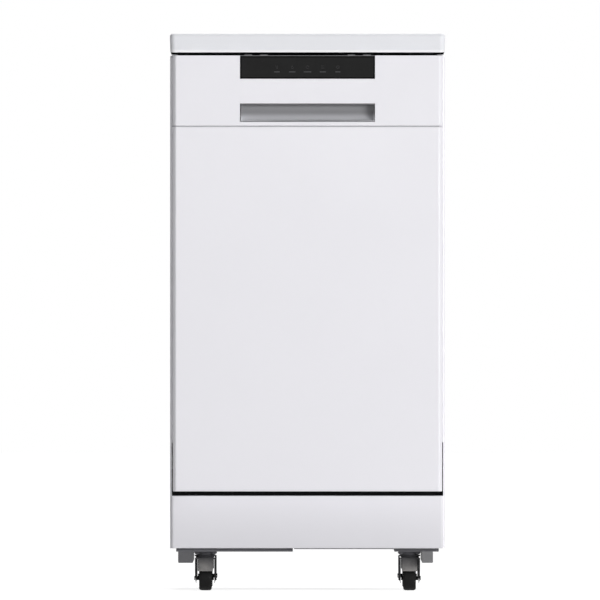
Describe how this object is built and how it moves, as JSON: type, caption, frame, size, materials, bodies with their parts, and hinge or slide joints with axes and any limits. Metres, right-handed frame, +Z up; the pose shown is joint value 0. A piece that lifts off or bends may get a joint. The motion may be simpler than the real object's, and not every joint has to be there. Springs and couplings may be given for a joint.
{
  "type": "portable dishwasher on wheels",
  "caption": "Narrow free-standing white dishwasher on swivelling casters, with a drop-down door, sliding wire racks, spray arms and a top control strip.",
  "frame": {"origin": "on the floor, under the middle of the machine's outer box", "axes": "+Z up, -Y out of the door, +X to the right seen from the front"},
  "size_m": [0.45, 0.6, 0.91],
  "materials": {
    "white_enamel": "smooth gloss enamel",
    "white_moulding": "satin moulding",
    "dark_window": "gloss",
    "grey_moulding": "satin",
    "dark_steel": "satin",
    "zinc_steel": "zinc plated",
    "stainless": "brushed",
    "black_rubber": "matte",
    "coated_wire": "nylon coated wire",
    "grey_plastic": "moulded",
    "black_plastic": "moulded"
  },
  "bodies": {
    "cabinet": {"worktop": "white_moulding", "top_frame": "dark_steel", "side_panel_left": "white_enamel", "side_panel_right": "white_enamel", "rear_panel": "zinc_steel", "base_tray": "grey_plastic", "base_rail_left": "dark_steel", "base_rail_right": "dark_steel", "toe_panel": "white_enamel", "caster_mount_front_left": "zinc_steel", "caster_mount_front_right": "zinc_steel", "caster_mount_rear_left": "zinc_steel", "caster_mount_rear_right": "zinc_steel", "tub": "stainless", "door_seal": "black_rubber", "sump": "grey_plastic", "filter_plate": "stainless", "filter_cup": "grey_plastic", "heater": "zinc_steel", "feed_pipe": "grey_plastic", "rail_bracket_left": "black_plastic", "rail_bracket_right": "black_plastic", "wash_pump": "black_plastic", "drain_pump": "black_plastic", "water_inlet": "black_plastic", "drain_outlet": "grey_plastic", "door_spring_left": "zinc_steel", "door_spring_right": "zinc_steel"},
    "door": {"door_panel": "white_enamel", "door_liner": "stainless", "fascia": "white_moulding", "display_window": "dark_window", "handle_pocket": "grey_moulding", "door_latch": "black_plastic", "dispenser_body": "grey_plastic", "hinge_arm_left": "zinc_steel", "hinge_arm_right": "zinc_steel"},
    "button_1": {"button_1": "grey_moulding"},
    "button_2": {"button_2": "grey_moulding"},
    "button_3": {"button_3": "grey_moulding"},
    "button_4": {"button_4": "grey_moulding"},
    "dispenser_lid": {"dispenser_lid": "white_moulding"},
    "rinse_aid_cap": {"rinse_aid_cap": "black_plastic"},
    "lower_rack": {"lower_rack": "coated_wire", "cutlery_basket": "grey_plastic"},
    "upper_rack": {"upper_rack": "coated_wire", "upper_arm_feed": "grey_plastic"},
    "rails": {"rail_left": "stainless", "rail_right": "stainless"},
    "lower_arm": {"lower_spray_arm": "grey_plastic"},
    "upper_arm": {"upper_spray_arm": "grey_plastic"},
    "float": {"float_dome": "grey_plastic"},
    "swivel_front_left": {"caster_fork_front_left": "dark_steel"},
    "wheel_front_left": {"caster_wheel_front_left": "black_rubber"},
    "swivel_front_right": {"caster_fork_front_right": "dark_steel"},
    "wheel_front_right": {"caster_wheel_front_right": "black_rubber"},
    "swivel_rear_left": {"caster_fork_rear_left": "dark_steel"},
    "wheel_rear_left": {"caster_wheel_rear_left": "black_rubber"},
    "swivel_rear_right": {"caster_fork_rear_right": "dark_steel"},
    "wheel_rear_right": {"caster_wheel_rear_right": "black_rubber"}
  },
  "joints": [
    {"name": "door_hinge", "type": "hinge", "parent": "cabinet", "child": "door", "pos_m": [0, -0.28, 0.198], "axis": [1, 0, 0], "range_deg": [0, 90]},
    {"name": "lower_rack_slide", "type": "slide", "parent": "cabinet", "child": "lower_rack", "axis": [0, -1, 0], "range_m": [0, 0.15]},
    {"name": "upper_rack_slide", "type": "slide", "parent": "cabinet", "child": "upper_rack", "axis": [0, -1, 0], "range_m": [0, 0.38]},
    {"name": "rail_slide", "type": "slide", "parent": "cabinet", "child": "rails", "axis": [0, -1, 0], "range_m": [0, 0.19]},
    {"name": "lower_arm_spin", "type": "hinge", "parent": "cabinet", "child": "lower_arm", "pos_m": [0, 0, 0.22], "axis": [0, 0, 1], "continuous": true},
    {"name": "upper_arm_spin", "type": "hinge", "parent": "upper_rack", "child": "upper_arm", "pos_m": [0, 0, 0.567], "axis": [0, 0, 1], "continuous": true},
    {"name": "lid_hinge", "type": "hinge", "parent": "door", "child": "dispenser_lid", "pos_m": [-0.051, -0.2368, 0.438], "axis": [-1, 0, 0], "range_deg": [0, 95]},
    {"name": "cap_twist", "type": "hinge", "parent": "door", "child": "rinse_aid_cap", "pos_m": [0.032, -0.236, 0.476], "axis": [0, 1, 0], "range_deg": [0, 90]},
    {"name": "float_lift", "type": "slide", "parent": "cabinet", "child": "float", "axis": [0, 0, 1], "range_m": [0, 0.008]},
    {"name": "button_1_press", "type": "slide", "parent": "door", "child": "button_1", "axis": [0, 0, -1], "range_m": [0, 0.0012], "stiffness_N_per_m": 300, "springref_m": -0.0005},
    {"name": "button_2_press", "type": "slide", "parent": "door", "child": "button_2", "axis": [0, 0, -1], "range_m": [0, 0.0012], "stiffness_N_per_m": 300, "springref_m": -0.0005},
    {"name": "button_3_press", "type": "slide", "parent": "door", "child": "button_3", "axis": [0, 0, -1], "range_m": [0, 0.0012], "stiffness_N_per_m": 300, "springref_m": -0.0005},
    {"name": "button_4_press", "type": "slide", "parent": "door", "child": "button_4", "axis": [0, 0, -1], "range_m": [0, 0.0012], "stiffness_N_per_m": 300, "springref_m": -0.0005},
    {"name": "swivel_front_left", "type": "hinge", "parent": "cabinet", "child": "swivel_front_left", "pos_m": [-0.167, -0.215, 0.0585], "axis": [0, 0, 1], "continuous": true},
    {"name": "roll_front_left", "type": "hinge", "parent": "swivel_front_left", "child": "wheel_front_left", "pos_m": [-0.167, -0.202, 0.02], "axis": [1, 0, 0], "continuous": true},
    {"name": "swivel_front_right", "type": "hinge", "parent": "cabinet", "child": "swivel_front_right", "pos_m": [0.167, -0.215, 0.0585], "axis": [0, 0, 1], "continuous": true},
    {"name": "roll_front_right", "type": "hinge", "parent": "swivel_front_right", "child": "wheel_front_right", "pos_m": [0.167, -0.202, 0.02], "axis": [1, 0, 0], "continuous": true},
    {"name": "swivel_rear_left", "type": "hinge", "parent": "cabinet", "child": "swivel_rear_left", "pos_m": [-0.167, 0.215, 0.0585], "axis": [0, 0, 1], "continuous": true},
    {"name": "roll_rear_left", "type": "hinge", "parent": "swivel_rear_left", "child": "wheel_rear_left", "pos_m": [-0.167, 0.228, 0.02], "axis": [1, 0, 0], "continuous": true},
    {"name": "swivel_rear_right", "type": "hinge", "parent": "cabinet", "child": "swivel_rear_right", "pos_m": [0.167, 0.215, 0.0585], "axis": [0, 0, 1], "continuous": true},
    {"name": "roll_rear_right", "type": "hinge", "parent": "swivel_rear_right", "child": "wheel_rear_right", "pos_m": [0.167, 0.228, 0.02], "axis": [1, 0, 0], "continuous": true}
  ],
  "couplings": [
    {"joint": "lower_rack_slide", "follows": "door_hinge", "m_per_rad": 0.0954},
    {"joint": "upper_rack_slide", "follows": "door_hinge", "m_per_rad": 0.2418},
    {"joint": "rail_slide", "follows": "door_hinge", "m_per_rad": 0.1209}
  ]
}
